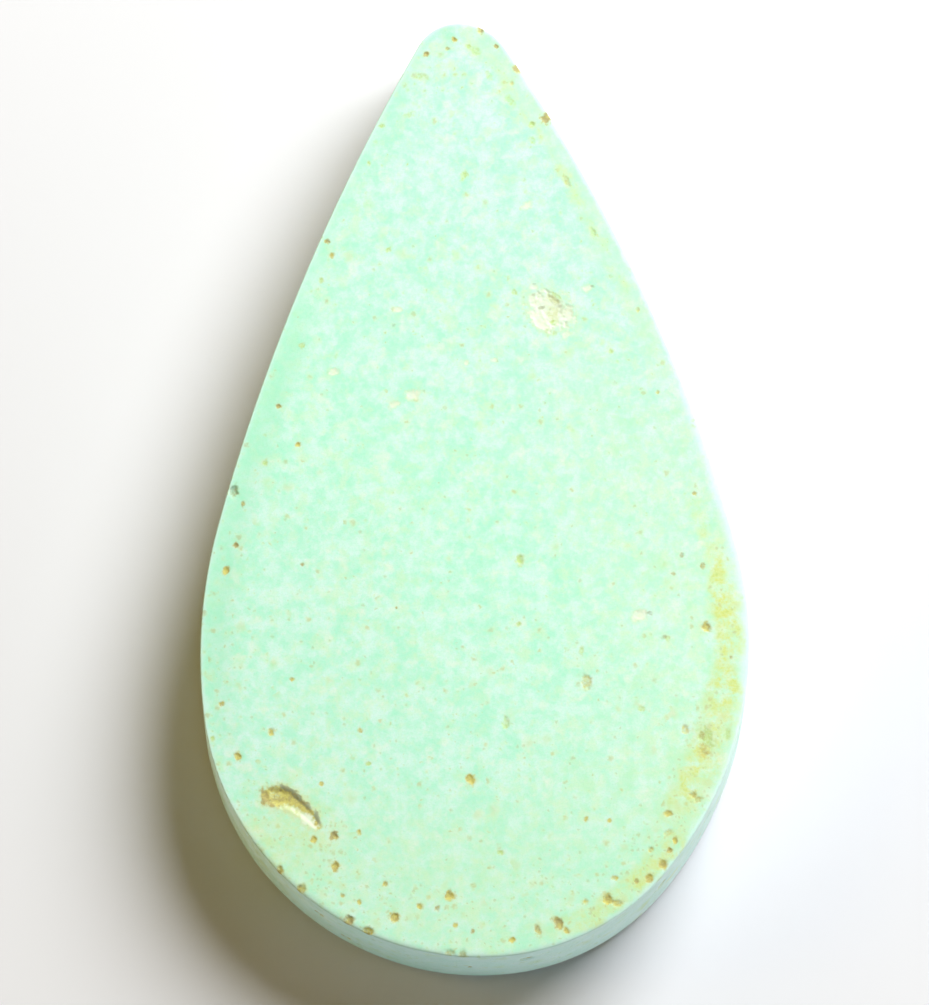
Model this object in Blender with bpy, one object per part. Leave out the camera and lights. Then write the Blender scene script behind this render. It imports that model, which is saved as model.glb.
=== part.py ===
"""Turquoise teardrop: a flat, pear-shaped blank of pale turquoise, lying on its ground base.

One solid. Its outline is a chain of arcs, its walls are upright, its lower edge is rounded, and the
rim of its flat face is sharp except along one flank and round the foot, where it is ground softer. A
shallow groove, a faint scar, pits and rim chips are cut into it.
"""

import math
import random
from typing import NamedTuple

import bmesh
import bpy
import numpy as np
from mathutils import Matrix, Vector

MM = 0.001

# Driving dimensions. The tip points along +Y, the flat face looks up, and the base lies on Z = 0.
LENGTH = 40.0 * MM
LEFT_HALF_WIDTH = 11.7 * MM
RIGHT_HALF_WIDTH = 11.3 * MM
THICKNESS = 5.0 * MM

# Rounded edges, as the width taken off the face or base and the height taken off the wall.
BASE_ROUNDING = 0.45 * MM
SHARP_RIM = 0.06 * MM
FLANK_SLOPE = 0.85 * MM  # the soft slope along the upper right flank
BELLY_SLOPE = 0.35 * MM  # the narrower one below it
FOOT_SLOPE = 0.18 * MM  # the one round the foot
RIM_DROP = 0.06 * MM
FOOT_DROP = 0.03 * MM  # taken off the wall round the foot as well
ROUNDING_STEPS = 3

# How finely the outline is cut into straight runs.
TURN_STEP = math.radians(5.0)
LONGEST_STEP = 1.6 * MM

PIT_ROUGHNESS = 0.16  # how far a cutter's points stray, as a share of its size
PIT_DEPTH = 0.5  # depth of a pit as a share of its half width
CHIP_DEPTH = 0.6
CUTTER_LIFT = 0.1  # how far a cutter's middle stands over the face, as a share of its depth
SEED = 7


class Side(NamedTuple):
    """One side of the outline: four arcs from the tip to the foot, joined at three turning angles."""

    sign: int
    half_width: float
    tip_radius: float
    joints: tuple


LEFT = Side(-1, LEFT_HALF_WIDTH, 1.92 * MM, (58.6, 73.0, 94.8))
RIGHT = Side(1, RIGHT_HALF_WIDTH, 2.34 * MM, (58.4, 77.3, 131.6))


class Pit(NamedTuple):
    """A rough hollow: its place on the face and its half width, half length (mm) and turn (degrees)."""

    x: float
    y: float
    half_width: float
    half_length: float
    turn: float = 0.0


# Hollows along the seam where the sloping flank meets the flat face, from the tip down.
SEAM_PITS = (
    Pit(2.4, 17.3, 0.12, 0.12),
    Pit(3.2, 15.5, 0.13, 0.16),
    Pit(4.6, 13.0, 0.15, 0.36, 25),
    Pit(5.6, 10.8, 0.13, 0.22, 15),
    Pit(6.3, 8.8, 0.12, 0.12),
    Pit(7.4, 7.4, 0.12, 0.15, 10),
    Pit(8.1, 3.8, 0.12, 0.12),
    Pit(9.5, -0.6, 0.13, 0.12),
)

# Single hollows over the rest of the face.
FACE_PITS = (
    Pit(0.1, 19.3, 0.12, 0.12),
    Pit(-1.1, 18.7, 0.14, 0.13),
    Pit(1.8, 18.9, 0.12, 0.12),
    Pit(-5.6, 10.8, 0.14, 0.12),
    Pit(-5.4, 10.2, 0.16, 0.12, 20),
    Pit(-7.9, 3.8, 0.12, 0.12),
    Pit(-7.1, 2.1, 0.12, 0.12),
    Pit(-9.9, -2.1, 0.13, 0.13),
    Pit(-10.3, -3.2, 0.14, 0.15),
    Pit(-10.7, -8.9, 0.14, 0.12),
    Pit(-8.6, -10.2, 0.16, 0.18),
    Pit(-10.1, -11.1, 0.14, 0.16),
    Pit(-0.4, -12.4, 0.16, 0.22),
    Pit(4.7, -8.5, 0.24, 0.40),
    Pit(1.2, -10.1, 0.16, 0.28),
    Pit(2.0, -3.2, 0.16, 0.20),
    Pit(9.7, -6.3, 0.20, 0.24),
    Pit(8.7, -10.6, 0.16, 0.20),
    Pit(-6.2, -14.6, 0.18, 0.20),
    Pit(-6.2, -15.9, 0.17, 0.22),
    Pit(-7.0, -14.8, 0.14, 0.14, 30),
)

# The arc of hollows that follows the rim round the lower right and the foot.
FOOT_PITS = (
    Pit(8.8, -13.4, 0.14, 0.15),
    Pit(9.1, -13.7, 0.16, 0.15),
    Pit(7.8, -14.2, 0.18, 0.15),
    Pit(7.8, -15.0, 0.24, 0.16, 10),
    Pit(8.1, -15.4, 0.12, 0.13),
    Pit(7.0, -15.7, 0.15, 0.17),
    Pit(7.8, -15.8, 0.12, 0.13),
    Pit(7.5, -16.4, 0.20, 0.22),
    Pit(6.9, -16.9, 0.16, 0.20),
    Pit(6.4, -17.0, 0.12, 0.13),
    Pit(5.5, -16.9, 0.18, 0.12),
    Pit(5.1, -17.7, 0.22, 0.24, 20),
    Pit(5.6, -17.9, 0.20, 0.16),
    Pit(4.2, -17.8, 0.13, 0.14),
    Pit(3.0, -18.6, 0.18, 0.28, 32),
    Pit(3.4, -19.0, 0.12, 0.18, 20),
    Pit(2.2, -18.9, 0.14, 0.28, 15),
    Pit(1.1, -19.3, 0.12, 0.12),
    Pit(-1.4, -17.4, 0.20, 0.17),
    Pit(-3.8, -18.1, 0.20, 0.18, 20),
    Pit(-2.0, -17.9, 0.12, 0.13),
    Pit(-2.7, -17.7, 0.12, 0.13),
    Pit(-4.1, -16.7, 0.13, 0.12),
    Pit(-5.2, -17.5, 0.12, 0.14),
    Pit(-5.9, -17.2, 0.12, 0.12),
)

# Pieces broken out of the rim, with their centres close to its edge.
RIM_CHIPS = (
    Pit(-9.9, 0.2, 0.27, 0.24),
    Pit(-8.5, -16.0, 0.16, 0.21),
    Pit(-7.6, -16.8, 0.20, 0.24),
    Pit(-5.7, -18.2, 0.26, 0.22, -25),
    Pit(-4.9, -18.7, 0.28, 0.22, -20),
    Pit(-1.5, -19.8, 0.22, 0.18),
    Pit(-1.0, -19.9, 0.18, 0.17),
    Pit(2.7, 18.0, 0.18, 0.15, 30),
    Pit(3.8, 15.8, 0.22, 0.16, 30),
    Pit(1.2, 19.7, 0.15, 0.17),
)

# The faint scar near the right flank, as lobes that run into each other.
SCAR = (
    Pit(3.6, 7.7, 0.60, 0.90, 35),
    Pit(3.2, 7.1, 0.30, 0.60, 46),
)
SCAR_DEPTH = 0.06 * MM


class Station(NamedTuple):
    """A place along the groove's middle, and its half width and depth there, all in mm."""

    x: float
    y: float
    half_width: float
    depth: float


GROOVE = (
    Station(-9.05, -12.84, 0.16, 0.04),
    Station(-8.80, -12.86, 0.36, 0.08),
    Station(-8.62, -12.88, 0.44, 0.11),
    Station(-8.30, -12.94, 0.48, 0.13),
    Station(-8.02, -13.05, 0.46, 0.12),
    Station(-7.76, -13.25, 0.39, 0.10),
    Station(-7.52, -13.46, 0.34, 0.08),
    Station(-7.28, -13.68, 0.30, 0.07),
    Station(-7.06, -13.90, 0.26, 0.06),
    Station(-6.86, -14.20, 0.20, 0.05),
    Station(-6.76, -14.38, 0.10, 0.03),
)
GROOVE_RING = 10  # points round the groove's section

# Hollows scattered where no eye has placed them: round the wall and over the base.
WALL_PITS = 18
WALL_PIT_SIZES = (0.16 * MM, 0.34 * MM)
WALL_PIT_HEIGHTS = (1.0 * MM, 4.0 * MM)
BASE_PITS = 16
BASE_PIT_SIZES = (0.18 * MM, 0.42 * MM)
BASE_PIT_REACH = (4.0 * MM, 9.0 * MM)
BASE_RING_STRETCH = 1.4
BASE_RING_SHIFT = -4.0 * MM
SCATTER_LIFT = 0.25  # how far such a hollow's middle stands off the surface, as a share of its size

TURQUOISE = (0.52, 0.83, 0.70, 1.0)
TURQUOISE_ROUGHNESS = 0.8


def clear_scene():
    """Removes every object that the file opens with."""
    for obj in list(bpy.data.objects):
        bpy.data.objects.remove(obj, do_unlink=True)


def turquoise_material():
    """The matte, pale blue-green stone."""
    material = bpy.data.materials.new("turquoise")
    material.use_nodes = True
    shader = material.node_tree.nodes["Principled BSDF"]
    shader.inputs["Base Color"].default_value = TURQUOISE
    shader.inputs["Roughness"].default_value = TURQUOISE_ROUGHNESS
    shader.inputs["Metallic"].default_value = 0.0
    return material


def arc_radii(side, turns):
    """The four radii of a side: the tip's is given, and the rest bring it to its width and its foot."""
    s = np.sin(turns)
    c = np.cos(turns)
    across = side.half_width - side.tip_radius * s[1]
    back = -side.tip_radius * s[1]
    down = LENGTH - side.tip_radius * (1.0 - c[1])
    rows = (
        (s[2] - s[1], 1.0 - s[2], 0.0),
        (s[2] - s[1], s[3] - s[2], s[4] - s[3]),
        (c[1] - c[2], c[2] - c[3], c[3] - c[4]),
    )
    return [side.tip_radius, *np.linalg.solve(rows, (across, back, down))]


def side_points(side):
    """Points down one side from the tip, each as (place, outward direction)."""
    turns = np.radians((0.0, *side.joints, 180.0))
    x, y = 0.0, LENGTH / 2
    points = []
    for radius, start, end in zip(arc_radii(side, turns), turns, turns[1:]):
        span = end - start
        steps = math.ceil(max(span / TURN_STEP, radius * span / LONGEST_STEP))
        for turn in (start + span * step / steps for step in range(steps)):
            place = Vector(
                (
                    side.sign * (x + radius * (math.sin(turn) - math.sin(start))),
                    y - radius * (math.cos(start) - math.cos(turn)),
                )
            )
            points.append((place, Vector((side.sign * math.sin(turn), math.cos(turn)))))
        x += radius * (math.sin(end) - math.sin(start))
        y -= radius * (math.cos(start) - math.cos(end))
    points.append((Vector((0.0, -LENGTH / 2)), Vector((0.0, -1.0))))
    return points


def outline():
    """The closed outline, anticlockwise from the tip, centred on its own box."""
    shift = Vector(((LEFT_HALF_WIDTH - RIGHT_HALF_WIDTH) / 2, 0.0))
    points = side_points(LEFT) + side_points(RIGHT)[-2:0:-1]
    return [(place + shift, outward) for place, outward in points]


def ramp(value, low, high):
    """0 below low, 1 above high, and a smooth rise between them."""
    share = min(max((value - low) / (high - low), 0.0), 1.0)
    return share * share * (3.0 - 2.0 * share)


def foot_share(place):
    """1 round the foot, 0 above it, and a smooth change between them."""
    return ramp(-place.y, 12.5 * MM, 16.5 * MM)


def rim_width(place, outward):
    """How wide the rim is rounded off at a place on the outline."""
    foot = foot_share(place)
    if outward.x <= 0.0:
        return SHARP_RIM + FOOT_SLOPE * foot
    flank = ramp(place.y, 1.0 * MM, 6.0 * MM) * ramp(-place.y, -18.5 * MM, -16.0 * MM)
    belly = ramp(place.y, -12.5 * MM, -9.0 * MM) * ramp(-place.y, -8.0 * MM, -3.0 * MM)
    soft = FLANK_SLOPE * flank + BELLY_SLOPE * belly * (1.0 - flank)
    return SHARP_RIM + FOOT_SLOPE * foot + soft * (1.0 - foot)


def rim_drop(place):
    """How far the rim falls from the face to the wall at a place on the outline."""
    return RIM_DROP + FOOT_DROP * foot_share(place)


def profile(place, outward):
    """The edge's section at a place on the outline, as (inset, height) from the base to the face."""
    width = rim_width(place, outward)
    drop = rim_drop(place)
    quarter = [math.pi / 2 * step / ROUNDING_STEPS for step in range(ROUNDING_STEPS + 1)]
    low = [
        (BASE_ROUNDING * (1.0 - math.sin(turn)), BASE_ROUNDING * (1.0 - math.cos(turn)))
        for turn in quarter
    ]
    high = [
        (width * (1.0 - math.cos(turn)), THICKNESS - drop * (1.0 - math.sin(turn)))
        for turn in quarter
    ]
    return low + [(0.0, THICKNESS / 2)] + high


def link(name, mesh_data, material=None):
    """Turns a bmesh into an object of that name in the scene."""
    mesh = bpy.data.meshes.new(name)
    bmesh.ops.recalc_face_normals(mesh_data, faces=mesh_data.faces)
    mesh_data.to_mesh(mesh)
    mesh_data.free()
    if material:
        mesh.materials.append(material)
    obj = bpy.data.objects.new(name, mesh)
    bpy.context.scene.collection.objects.link(obj)
    return obj


def add_rings(mesh_data, rings):
    """Joins rings of points, each as long as the next, into a closed tube with flat ends."""
    made = [[mesh_data.verts.new(point) for point in ring] for ring in rings]
    count = len(made[0])
    for lower, upper in zip(made, made[1:]):
        for i in range(count):
            j = (i + 1) % count
            mesh_data.faces.new((lower[i], lower[j], upper[j], upper[i]))
    mesh_data.faces.new(reversed(made[0]))
    mesh_data.faces.new(made[-1])


def stone_body(points, material):
    """The uncut blank, with its rounded lower edge and its rim."""
    columns = []
    for place, outward in points:
        columns.append(
            [
                (*(place - outward * inset), height)
                for inset, height in profile(place, outward)
            ]
        )
    body = bmesh.new()
    add_rings(body, list(zip(*columns)))
    return link("turquoise_teardrop", body, material)


def add_lump(cutter, centre, half_sizes, turn, fineness, chance):
    """Adds a rough ball of those half sizes to a cutter, turned about Z."""
    ball = bmesh.ops.create_icosphere(cutter, subdivisions=fineness, radius=1.0)
    spin = Matrix.Rotation(turn, 3, "Z")
    for vertex in ball["verts"]:
        stray = 1.0 + chance.uniform(-PIT_ROUGHNESS, PIT_ROUGHNESS)
        sized = Vector(a * b for a, b in zip(vertex.co, half_sizes))
        vertex.co = spin @ (sized * stray) + Vector(centre)


def face_height(pit, points):
    """Height of the stone's upper surface at a pit, which is lower where the rim slopes away."""
    middle = Vector((pit.x, pit.y)) * MM
    place, outward = min(points, key=lambda point: (point[0] - middle).length)
    width = rim_width(place, outward)
    past = max(1.0 - (place - middle).length / width, 0.0)
    return THICKNESS - rim_drop(place) * (1.0 - math.sqrt(1.0 - past * past))


def pits_cutter(name, pits, depth_share, points, chance):
    """A cutter of one rough lump for each pit, sunk into the upper surface."""
    cutter = bmesh.new()
    for pit in pits:
        depth = depth_share * min(pit.half_width, pit.half_length) * MM
        half_sizes = (pit.half_width * MM, pit.half_length * MM, depth)
        centre = (pit.x * MM, pit.y * MM, face_height(pit, points) + depth * CUTTER_LIFT)
        add_lump(cutter, centre, half_sizes, math.radians(pit.turn), 1, chance)
    return link(name, cutter)


def scar_cutter(chance):
    """The faint, shallow scar on the upper half of the face."""
    cutter = bmesh.new()
    for lobe in SCAR:
        half_sizes = (lobe.half_width * MM, lobe.half_length * MM, SCAR_DEPTH)
        centre = (lobe.x * MM, lobe.y * MM, THICKNESS + SCAR_DEPTH * CUTTER_LIFT)
        add_lump(cutter, centre, half_sizes, math.radians(lobe.turn), 2, chance)
    return link("cutter_scar", cutter)


def groove_cutter(chance):
    """The shallow curved groove near the foot, as a tube of oval sections along its stations."""
    rings = []
    for i, here in enumerate(GROOVE):
        before = GROOVE[max(i - 1, 0)]
        after = GROOVE[min(i + 1, len(GROOVE) - 1)]
        along = Vector((after.x - before.x, after.y - before.y)).normalized()
        across = Vector((-along.y, along.x))
        ring = []
        for step in range(GROOVE_RING):
            turn = 2.0 * math.pi * step / GROOVE_RING
            stray = 1.0 + chance.uniform(-PIT_ROUGHNESS, PIT_ROUGHNESS) / 2
            side = across * (here.half_width * math.cos(turn) * stray)
            lift = here.depth * (CUTTER_LIFT + math.sin(turn) * stray)
            ring.append(((here.x + side.x) * MM, (here.y + side.y) * MM, THICKNESS + lift * MM))
        rings.append(ring)
    cutter = bmesh.new()
    add_rings(cutter, rings)
    return link("cutter_groove", cutter)


def wall_cutter(points, chance):
    """Small hollows scattered round the upright wall."""
    cutter = bmesh.new()
    for i in range(WALL_PITS):
        place, outward = points[int((i + chance.random()) * len(points) / WALL_PITS)]
        size = chance.uniform(*WALL_PIT_SIZES)
        height = chance.uniform(*WALL_PIT_HEIGHTS)
        centre = (*(place + outward * size * SCATTER_LIFT), height)
        add_lump(cutter, centre, (size, size, size), 0.0, 1, chance)
    return link("cutter_wall", cutter)


def base_cutter(chance):
    """Small hollows scattered in a ring over the ground base, clear of its middle."""
    cutter = bmesh.new()
    for i in range(BASE_PITS):
        turn = 2.0 * math.pi * (i + chance.random()) / BASE_PITS
        reach = chance.uniform(*BASE_PIT_REACH)
        size = chance.uniform(*BASE_PIT_SIZES)
        x = reach * math.cos(turn)
        y = BASE_RING_STRETCH * reach * math.sin(turn) + BASE_RING_SHIFT
        add_lump(cutter, (x, y, -size * SCATTER_LIFT), (size, size, size), 0.0, 1, chance)
    return link("cutter_base", cutter)


def cut(body, cutter):
    """Takes a cutter's shape out of the body and hides the cutter."""
    boolean = body.modifiers.new(cutter.name, "BOOLEAN")
    boolean.operation = "DIFFERENCE"
    boolean.solver = "EXACT"
    boolean.use_self = True
    boolean.object = cutter
    cutter.hide_render = True
    cutter.display_type = "WIRE"


def main():
    """Builds the stone and cuts its hollows."""
    clear_scene()
    chance = random.Random(SEED)
    points = outline()
    face_pits = SEAM_PITS + FACE_PITS + FOOT_PITS
    body = stone_body(points, turquoise_material())
    cut(body, pits_cutter("cutter_pits", face_pits, PIT_DEPTH, points, chance))
    cut(body, pits_cutter("cutter_chips", RIM_CHIPS, CHIP_DEPTH, points, chance))
    cut(body, scar_cutter(chance))
    cut(body, groove_cutter(chance))
    cut(body, wall_cutter(points, chance))
    cut(body, base_cutter(chance))


main()
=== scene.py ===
"""Looks of a turquoise teardrop: a flat, pear-shaped blank of pale turquoise, and a plain studio.

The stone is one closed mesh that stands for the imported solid. Its outline is a chain of arcs, its
face and base are fine triangle sheets, and upright walls join them. Pits, a groove, a scar and rim
chips are worked into the mesh, and the colours follow the same hollows through vertex values.
Sizes are in millimetres until the mesh is made, and the shader coordinates are millimetres too.
"""

import logging
import math
from dataclasses import dataclass, field
from enum import Enum
from typing import Callable, NamedTuple

import bpy
import numpy as np
from bpy.types import Material, Node, NodeSocket as Socket, NodeTree, Object
from mathutils import Matrix, Vector, noise
from mathutils.geometry import delaunay_2d_cdt


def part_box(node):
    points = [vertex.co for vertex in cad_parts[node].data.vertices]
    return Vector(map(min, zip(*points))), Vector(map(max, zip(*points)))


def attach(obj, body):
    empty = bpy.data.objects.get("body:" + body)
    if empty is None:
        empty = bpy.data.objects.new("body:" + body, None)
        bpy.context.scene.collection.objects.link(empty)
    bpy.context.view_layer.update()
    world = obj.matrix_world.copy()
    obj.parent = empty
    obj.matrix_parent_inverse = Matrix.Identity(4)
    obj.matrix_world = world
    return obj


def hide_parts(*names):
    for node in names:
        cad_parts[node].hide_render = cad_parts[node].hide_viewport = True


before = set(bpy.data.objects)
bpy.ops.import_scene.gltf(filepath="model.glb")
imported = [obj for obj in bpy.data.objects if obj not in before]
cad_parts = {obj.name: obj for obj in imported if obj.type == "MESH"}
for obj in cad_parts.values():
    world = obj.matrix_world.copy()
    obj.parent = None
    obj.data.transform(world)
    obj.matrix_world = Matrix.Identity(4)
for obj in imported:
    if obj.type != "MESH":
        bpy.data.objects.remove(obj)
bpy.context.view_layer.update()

MM = 0.001
NODE = "turquoise_teardrop"
BODY = "root"
SEED = 11

log = logging.getLogger("turquoise_teardrop")

Array = np.ndarray
Rise = tuple[float, float]  # where a rise starts and where it is full
Run = tuple[float, float, float, float]  # the same, then where the fall starts and where it ends


# ---- small tools


def ramp(value: Array, low: float, high: float) -> Array:
    """A smooth rise of the share from 0 at low to 1 at high."""
    share = np.clip((np.asarray(value, float) - low) / (high - low), 0.0, 1.0)
    return share * share * (3.0 - 2.0 * share)


def hump(value: Array, low: float, start: float, end: float, high: float) -> Array:
    """A smooth rise from 0 at low to 1 at start, then a smooth fall from end to 0 at high."""
    return ramp(value, low, start) * (1.0 - ramp(value, end, high))


class Grain(NamedTuple):
    """Smooth noise over space, with its largest grain in mm and an offset that tells it from others."""

    strength: float
    size: float
    octaves: int
    shift: float

    def at(self, points: Array) -> Array:
        """The noise at places in mm.

        Args:
            points: Rows of two or three numbers.

        Returns:
            One value for each point, mostly within the strength on either side of 0.
        """
        spots = np.zeros((len(points), 3))
        spots[:, : points.shape[1]] = points / self.size
        spots += self.shift
        waves = [noise.fractal(spot, 1.0, 2.0, self.octaves) for spot in spots.tolist()]
        return self.strength * np.array(waves)


# ---- the outline


@dataclass(frozen=True)
class Side:
    """One side of the outline: four arcs from the tip to the foot, joined at three turning angles."""

    sign: int
    half_width: float
    tip_radius: float
    joints: tuple[float, float, float]

    def turns(self) -> Array:
        """The turning angles where its arcs start and end, in radians."""
        return np.radians((0.0, *self.joints, 180.0))


@dataclass
class Outline:
    """The pear-shaped outline, as two sides of arcs that share the tip and the foot."""

    length: float
    left: Side
    right: Side
    step: float = 0.15
    fine_step: float = 0.055

    def radii(self, side: Side) -> list[float]:
        """The four radii of a side: the tip's is given, the rest bring it to its width and foot.

        Args:
            side: The side to solve.

        Returns:
            The radii in millimetres, from the tip down.
        """
        turns = side.turns()
        s = np.sin(turns)
        c = np.cos(turns)
        rows = (
            (s[2] - s[1], 1.0 - s[2], 0.0),
            (s[2] - s[1], s[3] - s[2], s[4] - s[3]),
            (c[1] - c[2], c[2] - c[3], c[3] - c[4]),
        )
        across = side.half_width - side.tip_radius * s[1]
        back = -side.tip_radius * s[1]
        down = self.length - side.tip_radius * (1.0 - c[1])
        return [side.tip_radius, *np.linalg.solve(rows, (across, back, down))]

    def side_points(self, side: Side, busy: Callable[[float, float], bool]) -> list[tuple]:
        """Points down one side, from the tip to the foot.

        Args:
            side: The side to follow.
            busy: Says whether the outline is finely cut at a place.

        Returns:
            Rows of x, y and the outward direction's x and y.
        """
        turns = side.turns()
        shift = (self.left.half_width - self.right.half_width) / 2
        x, y = 0.0, self.length / 2
        rows = []
        for radius, start, end in zip(self.radii(side), turns, turns[1:]):
            turn = start
            while turn < end - 1e-9:
                here_x = side.sign * (x + radius * (math.sin(turn) - math.sin(start))) + shift
                here_y = y - radius * (math.cos(start) - math.cos(turn))
                rows.append((here_x, here_y, side.sign * math.sin(turn), math.cos(turn)))
                step = self.fine_step if busy(here_x, here_y) else self.step
                left = (end - turn) * radius
                turn += (left / math.ceil(left / step)) / radius
            x += radius * (math.sin(end) - math.sin(start))
            y -= radius * (math.cos(start) - math.cos(end))
        rows.append((shift, -self.length / 2, 0.0, -1.0))
        return rows

    def loop(self, busy: Callable[[float, float], bool]) -> tuple[Array, Array]:
        """The closed outline, anticlockwise from the tip.

        Args:
            busy: Says whether the outline is finely cut at a place.

        Returns:
            The places and the outward directions, two arrays of rows of x and y.
        """
        down = self.side_points(self.left, busy)
        up = self.side_points(self.right, busy)[-2:0:-1]
        rows = np.array(down + up)
        return rows[:, :2], rows[:, 2:]


@dataclass(frozen=True)
class Edges:
    """How the blank's edges are rounded and where: all in mm but slope_drop, a share of the width."""

    thickness: float
    base: float = 0.45
    sharp: float = 0.06
    flank: float = 0.85
    flank_low: Rise = (1.0, 6.0)
    flank_high: Rise = (-18.5, -16.0)
    belly: float = 0.35
    belly_low: Rise = (-12.5, -9.0)
    belly_high: Rise = (-8.0, -3.0)
    slope_drop: float = 0.06
    foot: float = 0.18
    foot_drop: float = 0.03
    foot_rise: Rise = (12.5, 16.5)
    rag: Grain = Grain(0.35, 0.6, 3, 3.7)
    shoulder: float = 1.6
    shoulder_drop: float = 0.09
    shoulder_rise: Rise = (-15.0, -6.0)

    def width(self, places: Array, outward_x: Array) -> Array:
        """How wide the rim is rounded off at places on the outline.

        Args:
            places: Rows of x and y.
            outward_x: The outward direction's x at each place.

        Returns:
            The width of the rounding at each place.
        """
        y = places[:, 1]
        right = outward_x > 0.0
        flank = ramp(y, *self.flank_low) * ramp(-y, *self.flank_high) * right
        belly = ramp(y, *self.belly_low) * ramp(-y, *self.belly_high) * right
        foot = ramp(-y, *self.foot_rise)
        ragged = 1.0 + self.rag.at(places)
        rounded = self.flank * flank + self.belly * belly * (1.0 - flank)
        return (self.sharp + self.foot * foot) * ragged + rounded * (1.0 - foot)

    def drop(self, places: Array, width: Array) -> Array:
        """How far the rim falls from the face to the wall at places where it is that wide."""
        foot = ramp(-places[:, 1], *self.foot_rise)
        return np.maximum(width * self.slope_drop, self.sharp) + self.foot_drop * foot


# ---- hollows


class Fill(Enum):
    """What lies in a hollow or stains a mark, from the palest to the darkest; along the groove's and the
    scar's walls the grey-olive and olive fills also stand for painted shade, and cream and straw for
    painted light.
    """

    CREAM = "cream"
    STRAW = "straw"
    OLIVE = "olive"
    OCHRE = "ochre"
    ASH = "ash"
    UMBER = "umber"


class Pit(NamedTuple):
    """A rough hollow: place and half sizes in mm, turn in degrees, and how much of what fills it."""

    x: float
    y: float
    half_width: float
    half_length: float
    turn: float = 0.0
    amount: float = 1.0
    fill: Fill = Fill.OCHRE


class Station(NamedTuple):
    """A place along a groove's middle, with its half width and depth there, all in mm."""

    x: float
    y: float
    half_width: float
    depth: float


def pits(fill: Fill, *rows: tuple[float, ...]) -> list[Pit]:
    """Hollows that hold the same fill, from their other values in a pit's order."""
    return [Pit(*row, fill=fill) for row in rows]


# The order counts: a pale hollow clears the darker ones before it where they overlap.

# Hollows along the seam where the sloping flank meets the flat face.
SEAM_PITS = (
    *pits(Fill.OLIVE, (3.22, 15.50, 0.12, 0.15), (5.62, 10.77, 0.13, 0.20, 15, 0.6)),
    *pits(Fill.OCHRE,
        (2.42, 17.30, 0.11, 0.11, 0, 0.5), (4.57, 13.01, 0.16, 0.36, 25, 0.45),
        (6.27, 8.82, 0.12, 0.12, 0, 0.4), (7.36, 7.38, 0.10, 0.14, 10, 0.55),
        (8.06, 3.79, 0.10, 0.10, 0, 0.6), (9.46, -0.60, 0.12, 0.10, 0, 0.6)),
)

# Single hollows over the rest of the face.
FACE_PITS = (
    *pits(Fill.OLIVE, (1.18, -10.12, 0.16, 0.30, 0, 0.65), (2.03, -3.19, 0.16, 0.20, 0, 0.8)),
    *pits(Fill.UMBER,
        (-1.13, 18.74, 0.13, 0.12), (-0.24, 18.92, 0.09, 0.09, 0, 0.55),
        (1.83, 18.94, 0.09, 0.10, 0, 0.8), (-5.60, 10.77, 0.13, 0.10, 0, 0.75), (-7.86, 3.77, 0.10, 0.10),
        (-9.86, -2.13, 0.11, 0.11), (-6.18, -14.63, 0.18, 0.20)),
    *pits(Fill.OCHRE,
        (0.08, 19.31, 0.11, 0.11), (-5.42, 10.17, 0.16, 0.10, 20, 0.7), (-7.11, 2.09, 0.10, 0.10),
        (-10.28, -3.19, 0.13, 0.15), (-10.66, -8.88, 0.13, 0.11, 0, 0.75),
        (-8.64, -10.17, 0.16, 0.18, 0, 0.7), (-10.06, -11.14, 0.13, 0.16), (-0.39, -12.43, 0.15, 0.22),
        (4.60, -8.52, 0.24, 0.40, 0, 0.5), (9.70, -6.34, 0.20, 0.24, 0, 0.75),
        (8.64, -10.66, 0.17, 0.22, 0, 0.55), (-6.15, -15.95, 0.17, 0.22),
        (-6.99, -14.76, 0.14, 0.14, 30)),
)

# The arc of hollows that follows the rim round the lower right and the foot.
FOOT_PITS = (
    *pits(Fill.OCHRE,
        (8.88, -13.46, 0.18, 0.16, 0, 0.6), (7.81, -14.21, 0.18, 0.15, 0, 0.75),
        (7.76, -15.01, 0.24, 0.16, 10, 0.45), (8.06, -15.36, 0.11, 0.13),
        (7.01, -15.70, 0.15, 0.17, 0, 0.55)),
    *pits(Fill.UMBER,
        (9.11, -13.66, 0.20, 0.16, 0, 0.5), (7.83, -15.75, 0.11, 0.12),
        (3.06, -18.65, 0.18, 0.30, 32, 0.85)),
    *pits(Fill.OCHRE,
        (7.51, -16.35, 0.20, 0.22, 0, 0.8), (6.91, -16.90, 0.17, 0.20, 0, 0.85),
        (5.47, -16.85, 0.18, 0.10, 0, 0.65), (5.15, -17.75, 0.25, 0.27, 20, 0.75),
        (5.55, -17.92, 0.24, 0.17, 0, 0.6), (4.22, -17.80, 0.12, 0.13, 0, 0.6),
        (3.39, -18.99, 0.12, 0.20, 20, 0.75), (1.13, -19.29, 0.11, 0.11), (-1.44, -17.36, 0.20, 0.17),
        (-3.77, -18.15, 0.20, 0.18, 20), (-2.71, -17.75, 0.12, 0.13, 0, 0.75),
        (-4.10, -16.75, 0.13, 0.12, 0, 0.75), (-5.20, -17.50, 0.10, 0.14, 0, 0.7),
        (-5.88, -17.20, 0.10, 0.10, 0, 0.7)),
    *pits(Fill.UMBER,
        (6.38, -17.00, 0.11, 0.13, 0, 0.7), (2.18, -18.91, 0.13, 0.30, 15, 0.65),
        (-1.96, -17.87, 0.12, 0.13, 0, 0.6)),
)

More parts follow.
